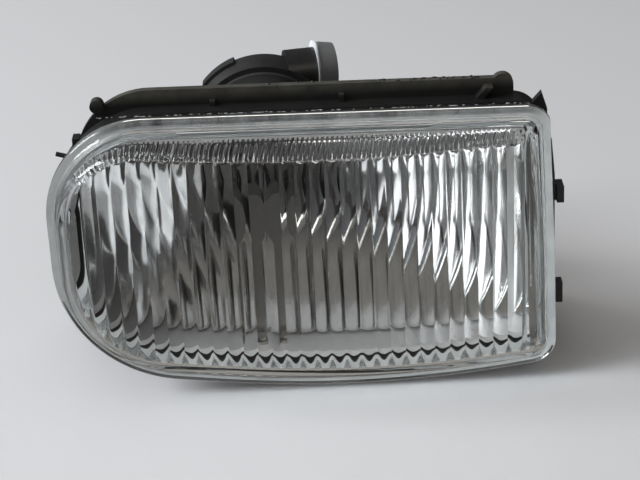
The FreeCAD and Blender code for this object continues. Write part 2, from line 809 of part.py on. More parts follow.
def make_base():
    """Flat foot, cut away at the front left to stay behind the lens."""
    arm_left = LEFT_ARM_X[0]
    arm_right = RIGHT_ARM_X[1]
    base = floor_plate((rest_z, rest_z + plate_t), [
        (-26.0, base_front_y), (arm_right - 26, base_front_y), (arm_right, base_front_y + 23),
        (arm_right, base_rear_y), (arm_left, base_rear_y), (arm_left, base_rear_y - 12),
        (arm_left + 19, base_rear_y - 22), (-48.0, base_front_y + 17)])
    window = floor_plate((rest_z - OVER, rest_z + plate_t + OVER), [
        (-32.0, 38.0), (8.0, 32.0), (12.0, 68.0), (-32.0, 68.0)])
    return base.cut(window)


def make_bracket():
    right_arm = side_plate(RIGHT_ARM_X, [
        (7.5, -28.4), (7.5, 20.0), (16.0, 30.0), (19.0, 28.0), (38.0, 12.0), (44.0, 2.0), (46.0, -14.0),
        (base_rear_y - 10, rest_z + 10), (base_rear_y - 10, rest_z), (42.0, rest_z), (34.0, rest_z + 12)])
    left_arm = side_plate(LEFT_ARM_X, [
        (19.0, -12.0), (19.0, 8.0), (25.0, 14.0), (35.0, 14.0), (43.0, 8.0),
        (base_rear_y, rest_z + 12), (base_rear_y, rest_z), (base_rear_y - 12, rest_z)])
    plate_y = (aim_plate_front_y, aim_plate_back_y)
    upright = front_plate(plate_y, [(aim_x - 13, rest_z), (aim_x + 13, rest_z),
                                    (aim_x + 8, -aim_arm + 8), (aim_x - 8, -aim_arm + 8)])
    pieces = [right_arm, left_arm, upright]
    for x in (aim_x - 12.0, aim_x + 9.5):
        gusset = [(aim_plate_back_y, rest_z), (aim_plate_back_y + gusset_leg, rest_z),
                  (aim_plate_back_y, rest_z + gusset_leg)]
        pieces.append(side_plate((x, x + 2.5), gusset))
    tab_root = RIGHT_ARM_X[1] - 0.5
    pieces.append(block((tab_root, right_x + 1.0), (7.5, tab_back_y), UPPER_TAB_Z))
    pieces.append(block((right_x + 0.5, right_x + tab_reach), (5.2, tab_back_y), UPPER_TAB_Z))
    pieces.append(block((tab_root, right_x + tab_reach), (7.5, tab_back_y), LOWER_TAB_Z))
    body = make_base().fuse(pieces)
    body = body.cut(rod((right_x - FAR / 2, pivot_y, pivot_z), (1, 0, 0), FAR, bush_r))
    body = body.cut(rod((left_x - FAR / 2, pivot_y, pivot_z), (1, 0, 0), FAR, bush_r))
    screw_hole = rod((aim_x, aim_plate_front_y - OVER, -aim_arm), (0, 1, 0), aim_plate_t + 2 * OVER, aim_bush_r)
    body = body.cut(screw_hole)
    for x in (-fixing_x, fixing_x):
        body = body.cut(rod((x, fixing_y, rest_z - OVER), (0, 0, 1), FAR, fixing_r))
    return body


def make_plate_nut(x):
    z = rest_z + plate_t
    tag_y = (fixing_y - tag_half_y, fixing_y + tag_half_y)
    nut = block((x - tag_half_x, x + tag_half_x), tag_y, (z, z + tag_t))
    nut = nut.fuse(rod((x, fixing_y, z), (0, 0, 1), plate_nut_t, fixing_r + plate_nut_wall))
    return nut.cut(rod((x, fixing_y, z - OVER), (0, 0, 1), FAR, fixing_r))


def make_aim_screw():
    head_y = aim_plate_back_y + washer_gap
    shank = rod((aim_x, aim_tip_y, -aim_arm), (0, 1, 0), head_y - aim_tip_y, aim_r)
    washer = rod((aim_x, head_y, -aim_arm), (0, 1, 0), washer_t, aim_r + washer_edge)
    across = aim_r + hexagon_edge
    corners = []
    for i in range(6):
        angle = math.radians(60.0 * i + 30.0)
        corners.append((aim_x + across * math.cos(angle), -aim_arm + across * math.sin(angle)))
    head = front_plate((head_y + washer_t, head_y + washer_t + hexagon_t), corners)
    slot_y = head_y + washer_t + hexagon_t - driver_depth
    slot = block((aim_x - across - OVER, aim_x + across + OVER), (slot_y, slot_y + 2 * driver_depth),
                 (-aim_arm - driver_half, -aim_arm + driver_half))
    return shank.fuse([washer, head]).cut(slot)


def make_screw_bush():
    start = (aim_x, aim_plate_front_y - bush_past, -aim_arm)
    return tube(start, (0, 1, 0), aim_plate_t + 1.75 * bush_past, aim_bush_r - press_gap, aim_r + running_gap)


def make_retainer():
    start = (aim_x, aim_plate_front_y - 2 * bush_past - clip_t, -aim_arm)
    return tube(start, (0, 1, 0), clip_t, aim_r + clip_edge, aim_r + running_gap / 2)


def make_aim_nut():
    side = (-nut_half, nut_half)
    nut = block((aim_x + side[0], aim_x + side[1]), (nut_front_y, nut_back_y),
                (-aim_arm + side[0], -aim_arm + side[1]))
    return nut.cut(rod((aim_x, nut_front_y - OVER, -aim_arm), (0, 1, 0), nut_t + 2 * OVER, aim_r + nut_gap))


# ============================ write every piece ============================

os.makedirs("parts", exist_ok=True)
write("lens", make_lens())
write("lens_sealant", make_sealant())
write("housing", make_housing())
write("reflector", make_reflector())
for number, (post_x, post_z) in enumerate(POSTS):
    screw = make_reflector_screw(post_x, post_z, POST_ENDS[number])
    write("reflector_screw_" + str(number + 1), screw)
write("bulb_shield", make_shield())
write("shield_rivet", make_rivet())
write("vent_cap", make_vent_cap())
write("pivot_pin_right", make_pivot_pin(1))
write("pivot_pin_left", make_pivot_pin(-1))
write("pivot_bush_right", make_pivot_bush(1))
write("pivot_bush_left", make_pivot_bush(-1))
write("bulb_holder", make_bulb_holder())
write("holder_seal", make_holder_seal())
write("socket_collar", make_socket_collar())
write("terminals", make_terminals())
write("bulb_base", make_bulb_base())
write("bulb_glass", make_bulb_glass())
write("filament", make_filament())
write("bracket", make_bracket())
write("plate_nut_left", make_plate_nut(-fixing_x))
write("plate_nut_right", make_plate_nut(fixing_x))
write("aim_screw", make_aim_screw())
write("screw_bush", make_screw_bush())
write("screw_retainer", make_retainer())
write("aim_nut", make_aim_nut())
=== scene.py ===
import math
import random

import bpy
import numpy as np
from mathutils import Matrix, Vector


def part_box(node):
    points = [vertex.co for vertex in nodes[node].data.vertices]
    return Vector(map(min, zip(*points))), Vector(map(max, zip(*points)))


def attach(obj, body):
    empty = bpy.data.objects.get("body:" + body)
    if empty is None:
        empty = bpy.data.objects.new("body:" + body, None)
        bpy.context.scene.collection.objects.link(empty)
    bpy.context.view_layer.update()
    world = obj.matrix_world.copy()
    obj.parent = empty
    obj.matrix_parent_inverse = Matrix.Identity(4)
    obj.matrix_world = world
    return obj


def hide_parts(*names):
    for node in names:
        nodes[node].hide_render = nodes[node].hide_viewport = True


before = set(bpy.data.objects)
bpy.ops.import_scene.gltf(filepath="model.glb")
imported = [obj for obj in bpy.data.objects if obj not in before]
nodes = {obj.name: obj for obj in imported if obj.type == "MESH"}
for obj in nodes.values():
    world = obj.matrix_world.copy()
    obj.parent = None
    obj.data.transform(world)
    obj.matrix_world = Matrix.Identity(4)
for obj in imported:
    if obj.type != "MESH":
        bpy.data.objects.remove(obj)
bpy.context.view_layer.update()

# ============================ sizes ============================
# Places in the frame are in metres: they are the values multiplied by MM, and those of the room, the
# floor and the lights. The lens and the small details are drawn in millimetres about the lens centre,
# with y = 0 at the front of the lens flange, and to_frame moves them to the frame.

MM = 0.001
TONGUE_END = 8.0 * MM
REST_HEIGHT = 56.0 * MM
LENS_CENTRE = Vector((0.0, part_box("lens")[1].y - TONGUE_END, REST_HEIGHT))

# lens outline and the edge of its face as (x, z) corners from the top left, anticlockwise, and the
# radius of each corner
OUTLINE = [(-86.0, 50.0), (-86.0, -42.5), (21.0, -56.0), (86.0, -46.5), (84.5, 47.5)]
OUTLINE_R = [35.0, 45.5, 390.0, 9.0, 9.5]
FACE = [(-80.3, 41.0), (-80.3, -33.0), (19.0, -44.6), (76.0, -38.4), (75.2, 38.0)]
FACE_R = [27.0, 34.0, 390.0, 4.5, 4.5]

# lens
FACE_Y = -12.0
FACE_APEX_Y = -14.96
FACE_SPHERE = 620.0
WALL_INSET = 2.5
LENS_WALL = 3.0
FLANGE_T = 4.0
FLANGE_WIDTH = 7.8
TONGUE = (5.2, 7.2)
FLANGE_ROUND = 1.4
FLANGE_ROUND_STEPS = 4
FLUTE_PITCH = 5.0
FLUTE_COLUMNS = 18
FLUTE_DEPTH = 0.62
FLUTED_WIDTH = 145.0
FACE_ROWS = 14
RIB_DEPTH = 0.5
RIB_PITCH = 1.6
RIB_LEFT = -75.0
RIB_FADE = 6.0
SMALLEST_RADIUS = 0.6

# side wall: how far up each loop is (1 is the edge of the face), and how far it is moved inwards
OUTER_FACE_ROUND = 1.3
OUTER_WALL_LOOPS = [(0.02, -0.25), (0.06, -0.06), (0.12, 0.0), (0.3, 0.0), (0.5, 0.0), (0.7, 0.0),
                    (0.84, 0.0), (0.91, 0.12), (0.96, 0.42), (0.99, 0.85)]
# the same for the inside, with the strength of the ribs
INNER_FACE_ROUND = 1.6
INNER_WALL_LOOPS = [(0.97, 0.75, 0.6), (0.9, 0.2, 1.0), (0.75, 0.0, 1.0), (0.6, 0.0, 1.0),
                    (0.46, 0.0, 1.0), (0.44, 0.0, 0.0), (0.2, 0.0, 0.0), (0.05, 0.0, 0.0)]
# flange loops as (distance in from the outline, depth). Where the CAD lens has its tongue, this lens
# has a narrow slot, open at the back of the flange and closed at SLOT_FRONT_Y.
SLOT_FRONT_Y = 0.008
FLANGE_BACK_LOOPS = [(TONGUE[0], FLANGE_T), (0.5, FLANGE_T), (0.0, FLANGE_T - 0.6), (0.0, FLANGE_ROUND)]
FLANGE_FRONT_LOOP = (1.9, 0.0)
FLANGE_INSIDE_LOOPS = [(WALL_INSET + LENS_WALL + 0.3, 0.3), (FLANGE_WIDTH - 0.3, 0.5), (FLANGE_WIDTH, 0.9),
                       (FLANGE_WIDTH, FLANGE_T), (TONGUE[1], FLANGE_T), (TONGUE[1], SLOT_FRONT_Y)]

# shares of the side wall at which its outline is worked out
NEAR_FACE_LEVELS = np.linspace(0.7, 1.3, 25)
WALL_LEVELS = np.linspace(-0.05, 1.35, 57)
FIRST_SHARE = 0.9
SETTLE_STEPS = 6
PLACE_SAMPLES = 8000
END_GAP = 1e-4

# dried sealant along the top edge of the lens, and flash on the raised wall behind it
FLECK_COUNT = 110
FLECK_X = (-66.0, 78.0)
FLECK_Y = (3.9, 4.4)
FLECK_SINK = (0.0, 0.35)
FLECK_HALF_LENGTH = (0.15, 0.8)
FLECK_HALF_DEPTH = 0.2
FLECK_HALF_HEIGHT = (0.1, 0.24)
LIP_TOP = ((-75.5, 55.9), (70.0, 54.0))
FLASH_COUNT = 34
FLASH_X = (-12.0, 66.0)
FLASH_DENSE_X = (28.0, 60.0)
FLASH_Y = (12.4, 14.6)
FLASH_HALF_HEIGHT = (0.2, 0.5)
FLASH_STRETCH = (1.0, 3.0)
FLASH_HALF_DEPTH = 0.4
LUMP_AROUND = 7
LUMP_LEVELS = 4
LUMP_UNEVEN = (0.75, 1.15)

# camera: looks at the lens centre from above
CAMERA_DISTANCE = 650.0 * MM
CAMERA_ELEVATION = 24.0
CAMERA_ROLL = -2.8
CAMERA_SIDE = 5.42 * MM
CAMERA_RISE = 3.39 * MM
CAMERA_LENS = 107.9
CAMERA_SENSOR = 36.0

# where materials change, along one axis of the frame
LIP_DUST = (106.5 * MM, 110.0 * MM)
# painted shade: the sealant is darkened to near black over the top of the flange
SEALANT_PAINTED_SHADE = (99.0 * MM, 102.0 * MM)
# painted highlight: the collar's left edge is painted near white where the light from the upper left
# catches its rim
COLLAR_PAINTED_HIGHLIGHT = (8.6 * MM, 7.4 * MM)
SKIRT_HAZE = (-32.0 * MM, -27.0 * MM)
HAZE_LEFT = (-80.0 * MM, -40.0 * MM)

# room: brightest towards the window, with a glow from below where the table would be
ROOM_LIGHT_WAY = (-0.78, 0.12, 0.61)
ROOM_SHADES = [(0.0, (0.09, 0.085, 0.08)), (0.5, (0.06, 0.06, 0.062)), (0.75, (0.2, 0.205, 0.21)),
               (1.0, (0.7, 0.72, 0.75))]
TABLE_SHEEN = (-0.75, -0.35)
TABLE_GLOW = (0.3, 0.285, 0.26)
ROOM_STRENGTH = 0.8
FLOOR_SIZE = 3.0
FLOOR_COLOUR = (0.53, 0.53, 0.545, 1.0)
LIGHT_TARGET = (0, 0.0, 0.05)

BLACK = (0.0, 0.0, 0.0)
WHITE = (1.0, 1.0, 1.0)
SHARP_ANGLE = 30
LENS_SHARP_ANGLE = 32
LUMP_SHARP_ANGLE = 60

random.seed(7)


# ============================ rounded outlines ============================

def side_line(start, end, distance):
    """A side moved inwards: one point on it, and its direction."""
    dx = end[0] - start[0]
    dz = end[1] - start[1]
    length = math.hypot(dx, dz)
    dx = dx / length
    dz = dz / length
    return (start[0] - dz * distance, start[1] + dx * distance), (dx, dz)


def meet(first, second):
    """Where two lines, each a point and a direction, cross."""
    (px, pz), (dx, dz) = first
    (qx, qz), (ex, ez) = second
    along = ((qx - px) * ez - (qz - pz) * ex) / (dx * ez - dz * ex)
    return (px + dx * along, pz + dz * along)


def inset(shape, distance):
    """The rounded polygon moved inwards all round."""
    corners, radii = shape
    count = len(corners)
    lines = [side_line(corners[i], corners[(i + 1) % count], distance) for i in range(count)]
    moved = [meet(lines[i - 1], lines[i]) for i in range(count)]
    return moved, [max(r - distance, SMALLEST_RADIUS) for r in radii]


def blend(first, second, share):
    """A rounded polygon part of the way from one to the other."""
    corners = [(a[0] + (b[0] - a[0]) * share, a[1] + (b[1] - a[1]) * share)
               for a, b in zip(first[0], second[0])]
    radii = [max(a + (b - a) * share, SMALLEST_RADIUS) for a, b in zip(first[1], second[1])]
    return corners, radii


def outline_at(shape, place):
    """Points on a rounded polygon. place counts its stretches: 0 to 1 is the first corner's arc,
    1 to 2 the side after it, and so on; it may be an array."""
    corners, radii = shape
    count = len(corners)
    ways = [side_line(corners[i], corners[(i + 1) % count], 0.0)[1] for i in range(count)]
    centres, starts, turns, joints = [], [], [], []
    for i in range(count):
        before = ways[i - 1]
        after = ways[i]
        turn = math.acos(before[0] * after[0] + before[1] * after[1])
        reach = radii[i] * math.tan(turn / 2)
        arc_x = corners[i][0] - before[0] * reach
        arc_z = corners[i][1] - before[1] * reach
        centres.append((arc_x - before[1] * radii[i], arc_z + before[0] * radii[i]))
        starts.append(math.atan2(-before[0], before[1]))
        turns.append(turn)
        line_x = corners[i][0] + after[0] * reach
        line_z = corners[i][1] + after[1] * reach
        joints.append((line_x, line_z, arc_x, arc_z))
    place = np.atleast_1d(np.asarray(place, float)) % (2 * count)
    x = np.zeros_like(place)
    z = np.zeros_like(place)
    for i in range(count):
        arc = (place >= 2 * i) & (place < 2 * i + 1)
        angle = starts[i] + turns[i] * (place[arc] - 2 * i)
        x[arc] = centres[i][0] + radii[i] * np.cos(angle)
        z[arc] = centres[i][1] + radii[i] * np.sin(angle)
        line = (place >= 2 * i + 1) & (place < 2 * i + 2)
        share = place[line] - 2 * i - 1
        line_x, line_z = joints[i][:2]
        next_x, next_z = joints[(i + 1) % count][2:]
        x[line] = line_x + (next_x - line_x) * share
        z[line] = line_z + (next_z - line_z) * share
    return x, z


# ============================ mesh helpers ============================

def to_frame(points):
    """Lamp millimetres to frame metres."""
    return [(x * MM + LENS_CENTRE.x, y * MM + LENS_CENTRE.y, z * MM + LENS_CENTRE.z)
            for x, y, z in points]


def make_object(name, points, faces, smooth_angle):
    """Mesh object from lamp millimetres, with edges sharper than the angle left sharp."""
    mesh = bpy.data.meshes.new(name)
    mesh.from_pydata(to_frame(points), [], faces)
    mesh.update()
    obj = bpy.data.objects.new(name, mesh)
    bpy.context.scene.collection.objects.link(obj)
    mesh.shade_smooth()
    mesh.set_sharp_from_angle(angle=math.radians(smooth_angle))
    return obj


def dome(x, z, depth=0.0):
    """Depth y of the lens's front sphere, or of one behind it."""
    ball = FACE_SPHERE - depth
    centre = FACE_APEX_Y + FACE_SPHERE
    return centre - np.sqrt(ball ** 2 - x ** 2 - z ** 2)


# ============================ lens ============================

def lens_section(share, wall):
    """Side wall outline: 0 at the flange, 1 at the depth of the face edge."""
    flange = inset((OUTLINE, OUTLINE_R), WALL_INSET + wall)
    face = inset((FACE, FACE_R), wall)
    return blend(flange, face, share)


def between_levels(table, levels, share):
    """Each point's place at its own share, from a table of the outline at even levels."""
    xs = np.array([row[0] for row in table])
    zs = np.array([row[1] for row in table])
    step = levels[1] - levels[0]
    at = np.clip((share - levels[0]) / step, 0, len(levels) - 1.001)
    low = at.astype(int)
    part = at - low
    pick = np.arange(len(share))
    x = xs[low, pick] * (1 - part) + xs[low + 1, pick] * part
    z = zs[low, pick] * (1 - part) + zs[low + 1, pick] * part
    return x, z


def wall_points(place, fraction, wall, extra):
    """Points part of the way up the side wall, where fraction 1 is the edge of the face."""
    share = np.full(len(place), FIRST_SHARE)
    table = [outline_at(lens_section(level, wall), place) for level in NEAR_FACE_LEVELS]
    for _ in range(SETTLE_STEPS):
        x, z = between_levels(table, NEAR_FACE_LEVELS, share)
        share = dome(x, z, wall) / FACE_Y
    table = [outline_at(inset(lens_section(level, wall), extra), place) for level in WALL_LEVELS]
    x, z = between_levels(table, WALL_LEVELS, share * fraction)
    return x, share * fraction * FACE_Y, z


def grid_columns(low_x, high_x, count, refined):
    """Column positions with finer steps at both ends, where the outline is steep."""
    columns = low_x + (high_x - low_x) * np.arange(count + 1) / count
    step = (high_x - low_x) / count
    for i in range(1, refined):
        offset = refined * step * (i / refined) ** 2
        columns[i] = low_x + offset
        columns[count - i] = high_x - offset
    return columns


def face_places(shape_x, places, columns):
    """Where the bottom and top of the face outline meet each column. The outline starts at its
    upper left and runs down, so its leftmost point comes before its rightmost one."""
    left = np.argmin(shape_x)
    right = np.argmax(shape_x)
    order = np.arange(len(places))
    bottom = order[left:right + 1]
    bottom_places = np.interp(columns, shape_x[bottom], places[bottom])
    top_order = np.concatenate([order[right:], order[:left + 1]])[::-1]
    unrolled = places[top_order].copy()
    unrolled[unrolled < places[left] + 1e-9] += places[-1] + (places[1] - places[0])
    top_places = np.interp(columns, shape_x[top_order], unrolled)
    return bottom_places, top_places


def face_grid(wall, extra, count, rows, refined):
    """Boundary places and grid of one side of the lens face."""
    stretches = 2 * len(OUTLINE)
    places = np.linspace(0, stretches, PLACE_SAMPLES, endpoint=False)
    x = wall_points(places, 1.0, wall, extra)[0]
    columns = grid_columns(x.min() + END_GAP, x.max() - END_GAP, count, refined)
    bottom, top = face_places(x, places, columns)
    left_rows = bottom[0] + (top[0] - stretches - bottom[0]) * np.arange(rows + 1) / rows
    right_rows = bottom[-1] + (top[-1] - bottom[-1]) * np.arange(rows + 1) / rows
    loop = np.concatenate([bottom, right_rows[1:-1], top[::-1], left_rows[::-1][1:-1]])
    return columns, loop


def across_loop(x, z):
    """Unit vectors across a closed loop, pointing into it."""
    dx = np.roll(x, -1) - np.roll(x, 1)
    dz = np.roll(z, -1) - np.roll(z, 1)
    length = np.hypot(dx, dz) + 1e-9
    return -dz / length, dx / length


def scallops(along, pitch, depth):
    """Thickness of a row of convex stretches with a cusp between each two."""
    phase = (along / pitch) % 1.0
    return depth * (1 - (2 * phase - 1) ** 2)


def flutes(x, left):
    return scallops(x - left, FLUTE_PITCH, FLUTE_DEPTH)


def flange_loop(distance, y, place):
    """Loop round the flange, a distance in from the outline."""
    x, z = outline_at(inset((OUTLINE, OUTLINE_R), distance), place)
    return x, np.full(len(x), y), z


def outer_lens_loops(place):
    """Loops on the outside, from the flange's back edge to the edge of the face."""
    loops = [flange_loop(distance, y, place) for distance, y in FLANGE_BACK_LOOPS]
    for step in range(1, FLANGE_ROUND_STEPS + 1):
        angle = math.pi / 2 * step / FLANGE_ROUND_STEPS
        distance = FLANGE_ROUND * (1 - math.cos(angle))
        loops.append(flange_loop(distance, FLANGE_ROUND * (1 - math.sin(angle)), place))
    loops.append(flange_loop(*FLANGE_FRONT_LOOP, place))
    for fraction, extra in OUTER_WALL_LOOPS:
        loops.append(wall_points(place, fraction, 0.0, extra))
    x, _, z = wall_points(place, 1.0, 0.0, OUTER_FACE_ROUND)
    loops.append((x, dome(x, z), z))
    return loops


def rib_heights(x, z, first_top, top_count):
    """Height of the ribs round the inside loop: only on its upper part, and fading at the left."""
    upper = np.zeros(len(x))
    upper[first_top:first_top + top_count] = 1.0
    run = np.concatenate([[0.0], np.cumsum(np.hypot(np.diff(x), np.diff(z)))])
    fade = np.clip((x - RIB_LEFT) / RIB_FADE, 0.0, 1.0)
    return scallops(run, RIB_PITCH, RIB_DEPTH) * upper * fade


def inner_lens_loops(place, outer_place, flute_left, first_top, top_count):
    """Loops on the inside, from the edge of the face back to the slot in the flange."""
    x, _, z = wall_points(place, 1.0, LENS_WALL, INNER_FACE_ROUND)
    loops = [(x, dome(x, z, LENS_WALL) + flutes(x, flute_left), z)]
    ribs = rib_heights(x, z, first_top, top_count)
    for fraction, extra, strength in INNER_WALL_LOOPS:
        x, y, z = wall_points(place, fraction, LENS_WALL, extra)
        across_x, across_z = across_loop(x, z)
        loops.append((x + across_x * ribs * strength, y, z + across_z * ribs * strength))
    for distance, y in FLANGE_INSIDE_LOOPS:
        loops.append(flange_loop(distance, y, place))
    loops.append(flange_loop(TONGUE[0], SLOT_FRONT_Y, outer_place))
    return loops


def make_lens():
    rows = FACE_ROWS
    count = int(round(FLUTED_WIDTH / FLUTE_PITCH)) * FLUTE_COLUMNS
    outer_place = face_grid(0.0, OUTER_FACE_ROUND, count, rows, FLUTE_COLUMNS)[1]
    inner_columns, inner_place = face_grid(LENS_WALL, INNER_FACE_ROUND, count, rows, FLUTE_COLUMNS)
    size = len(outer_place)
    # each loop runs along the bottom, up the right side, back along the top and down the left side
    first_right = count + 1
    first_top = first_right + (rows - 1)
    first_left = first_top + (count + 1)
    loops = outer_lens_loops(outer_place)
    inner_loops = inner_lens_loops(inner_place, outer_place, inner_columns[0], first_top, count + 1)

    points = []
    faces = []

    def add_loop(loop):
        start = len(points)
        points.extend(zip(*loop))
        return start

    outer_starts = [add_loop(loop) for loop in loops]
    inner_starts = [add_loop(loop) for loop in inner_loops]

    def stitch(low, high):
        for i in range(size):
            j = (i + 1) % size
            faces.append((low + i, low + j, high + j, high + i))

    for low, high in zip(outer_starts, outer_starts[1:]):
        stitch(low, high)
    for low, high in zip(inner_starts, inner_starts[1:]):
        stitch(low, high)
    stitch(inner_starts[-1], outer_starts[0])

    def fill_face(start, wall, flute_left):
        """Grid inside a face's boundary loop. The inner face has flutes and is turned round."""
        inner = flute_left is not None
        index = np.zeros((count + 1, rows + 1), int)
        index[:, 0] = start + np.arange(count + 1)
        index[:, rows] = start + first_top + np.arange(count + 1)[::-1]
        index[count, 1:rows] = start + first_right + np.arange(rows - 1)
        index[0, 1:rows] = start + first_left + np.arange(rows - 1)[::-1]
        for i in range(1, count):
            low_point = points[index[i, 0]]
            high_point = points[index[i, rows]]
            for j in range(1, rows):
                share = j / rows
                x = low_point[0] + (high_point[0] - low_point[0]) * share
                z = low_point[2] + (high_point[2] - low_point[2]) * share
                y = float(dome(x, z, wall))
                if inner:
                    y += float(flutes(x, flute_left))
                index[i, j] = len(points)
                points.append((x, y, z))
        for i in range(count):
            for j in range(rows):
                quad = (index[i, j], index[i + 1, j], index[i + 1, j + 1], index[i, j + 1])
                quad = tuple(int(q) for q in quad)
                faces.append(quad[::-1] if inner else quad)

    fill_face(outer_starts[-1], 0.0, None)
    fill_face(inner_starts[0], LENS_WALL, inner_columns[0])
    lens = make_object("lens_fluted", points, faces, smooth_angle=LENS_SHARP_ANGLE)
    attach(lens, "lamp")
    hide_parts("lens")
    return lens


# ============================ small details ============================

def lump(centre, size, points, faces):
    """Adds one small uneven lump."""
    start = len(points)
    points.append((centre[0], centre[1], centre[2] - size[2]))
    for level in range(1, LUMP_LEVELS):
        tilt = math.pi * level / LUMP_LEVELS
        for i in range(LUMP_AROUND):
            angle = 2 * math.pi * i / LUMP_AROUND
            stretch = random.uniform(*LUMP_UNEVEN)
            points.append((centre[0] + size[0] * stretch * math.sin(tilt) * math.cos(angle),
                           centre[1] + size[1] * stretch * math.sin(tilt) * math.sin(angle),
                           centre[2] - size[2] * math.cos(tilt)))
    points.append((centre[0], centre[1], centre[2] + size[2]))
    last = len(points) - 1
    for i in range(LUMP_AROUND):
        j = (i + 1) % LUMP_AROUND
        faces.append((start, start + 1 + j, start + 1 + i))
        for level in range(LUMP_LEVELS - 2):
            low = start + 1 + level * LUMP_AROUND
            high = low + LUMP_AROUND
            faces.append((low + i, low + j, high + j, high + i))
        top = start + 1 + (LUMP_LEVELS - 2) * LUMP_AROUND
        faces.append((top + i, top + j, last))


def height_on(line, x):
    """Height z at x on a straight line between two (x, z) points."""
    (start_x, start_z), (end_x, end_z) = line
    return start_z + (end_z - start_z) * (x - start_x) / (end_x - start_x)


def make_sealant_flecks():
    """Dried sealant squeezed out along the top edge of the lens."""
    points, faces = [], []
    for _ in range(FLECK_COUNT):
        x = random.uniform(*FLECK_X)
        half_length = random.uniform(*FLECK_HALF_LENGTH)
        y = random.uniform(*FLECK_Y)
        z = height_on((OUTLINE[0], OUTLINE[-1]), x) - random.uniform(*FLECK_SINK)
        half_height = random.uniform(*FLECK_HALF_HEIGHT)
        lump((x, y, z), (half_length, FLECK_HALF_DEPTH, half_height), points, faces)
    flecks = make_object("sealant_flecks", points, faces, smooth_angle=LUMP_SHARP_ANGLE)
    white = moulded_plastic("fleck_white", (0.22, 0.22, 0.22), (0.5, 0.5, 0.5), (0.4, 0.6))
    flecks.data.materials.append(white)
    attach(flecks, "lamp")


def make_lip_flash():
    """Rough moulding flash left on the top of the lip."""
    points, faces = [], []
    for _ in range(FLASH_COUNT):
        x = random.choice((random.uniform(*FLASH_X), random.uniform(*FLASH_DENSE_X)))
        half_height = random.uniform(*FLASH_HALF_HEIGHT)
        y = random.uniform(*FLASH_Y)
        half_length = half_height * random.uniform(*FLASH_STRETCH)
        lump((x, y, height_on(LIP_TOP, x)), (half_length, FLASH_HALF_DEPTH, half_height), points, faces)
    flash = make_object("lip_flash", points, faces, smooth_angle=LUMP_SHARP_ANGLE)
    black = moulded_plastic("flash_black", (0.008, 0.008, 0.008), (0.03, 0.03, 0.027))
    flash.data.materials.append(black)
    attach(flash, "lamp")


# ============================ materials ============================

def new_material(name):
    """Material with a Principled shader, and the nodes that its look is built on."""
    material = bpy.data.materials.new(name)
    material.use_nodes = True
    tree = material.node_tree
    tree.nodes.clear()
    output = tree.nodes.new("ShaderNodeOutputMaterial")
    shader = tree.nodes.new("ShaderNodeBsdfPrincipled")
    tree.links.new(shader.outputs[0], output.inputs["Surface"])
    return material, tree, shader, output


def noise(tree, scale, detail, roughness):
    """Noise in the object's own coordinates."""
    coords = tree.nodes.new("ShaderNodeTexCoord")
    texture = tree.nodes.new("ShaderNodeTexNoise")
    texture.inputs["Scale"].default_value = scale
    texture.inputs["Detail"].default_value = detail
    texture.inputs["Roughness"].default_value = roughness
    tree.links.new(coords.outputs["Object"], texture.inputs["Vector"])
    return texture.outputs["Fac"]


def ramp(tree, value, stops):
    """Colour of a value, from (position, colour) stops."""
    node = tree.nodes.new("ShaderNodeValToRGB")
    elements = node.color_ramp.elements
    while len(elements) < len(stops):
        elements.new(0.5)
    for element, (position, colour) in zip(elements, stops):
        element.position = position
        element.color = (*colour, 1.0)
    tree.links.new(value, node.inputs[0])
    return node.outputs[0]


def spread(tree, value, low, high, from_low=0.0, from_high=1.0):
    """A value's range mapped to another range."""
    node = tree.nodes.new("ShaderNodeMapRange")
    node.inputs["From Min"].default_value = from_low
    node.inputs["From Max"].default_value = from_high
    node.inputs["To Min"].default_value = low
    node.inputs["To Max"].default_value = high
    tree.links.new(value, node.inputs["Value"])
    return node.outputs[0]


def math_node(tree, operation, first, second):
    node = tree.nodes.new("ShaderNodeMath")
    node.operation = operation
    tree.links.new(first, node.inputs[0])
    tree.links.new(second, node.inputs[1])
    return node.outputs[0]


def place_along(tree, kind):
    """The X, Y and Z outputs of a set of texture coordinates."""
    coords = tree.nodes.new("ShaderNodeTexCoord")
    parts = tree.nodes.new("ShaderNodeSeparateXYZ")
    tree.links.new(coords.outputs[kind], parts.inputs[0])
    return parts.outputs


def bump(tree, value, strength, distance):
    node = tree.nodes.new("ShaderNodeBump")
    node.inputs["Strength"].default_value = strength
    node.inputs["Distance"].default_value = distance
    tree.links.new(value, node.inputs["Height"])
    return node.outputs[0]


def moulded_plastic(name, dark, light, rough=(0.38, 0.55), grain=2600.0, tint=None, tint_axis="Z",
                    tint_range=(0.0, 1.0)):
    """Moulded plastic with a fine grain, slow colour change and, if asked, a patchy tint along one axis."""
    material, tree, shader, _ = new_material(name)
    slow = noise(tree, 45.0, 5.0, 0.6)
    colour = ramp(tree, slow, [(0.3, dark), (0.75, light)])
    if tint is not None:
        along = spread(tree, place_along(tree, "Object")[tint_axis], 0.0, 1.0, *tint_range)
        patches = ramp(tree, noise(tree, 160.0, 6.0, 0.65), [(0.3, (0.45, 0.45, 0.45)), (0.65, WHITE)])
        amount = math_node(tree, "MULTIPLY", along, patches)
        mixed = tree.nodes.new("ShaderNodeMixRGB")
        mixed.inputs[2].default_value = (*tint, 1.0)
        tree.links.new(amount, mixed.inputs[0])
        tree.links.new(colour, mixed.inputs[1])
        colour = mixed.outputs[0]
    tree.links.new(colour, shader.inputs["Base Color"])
    fine = noise(tree, grain, 2.0, 0.5)
    tree.links.new(spread(tree, slow, *rough), shader.inputs["Roughness"])
    tree.links.new(bump(tree, fine, 0.25, 0.00006), shader.inputs["Normal"])
    shader.inputs["Specular IOR Level"].default_value = 0.45
    return material


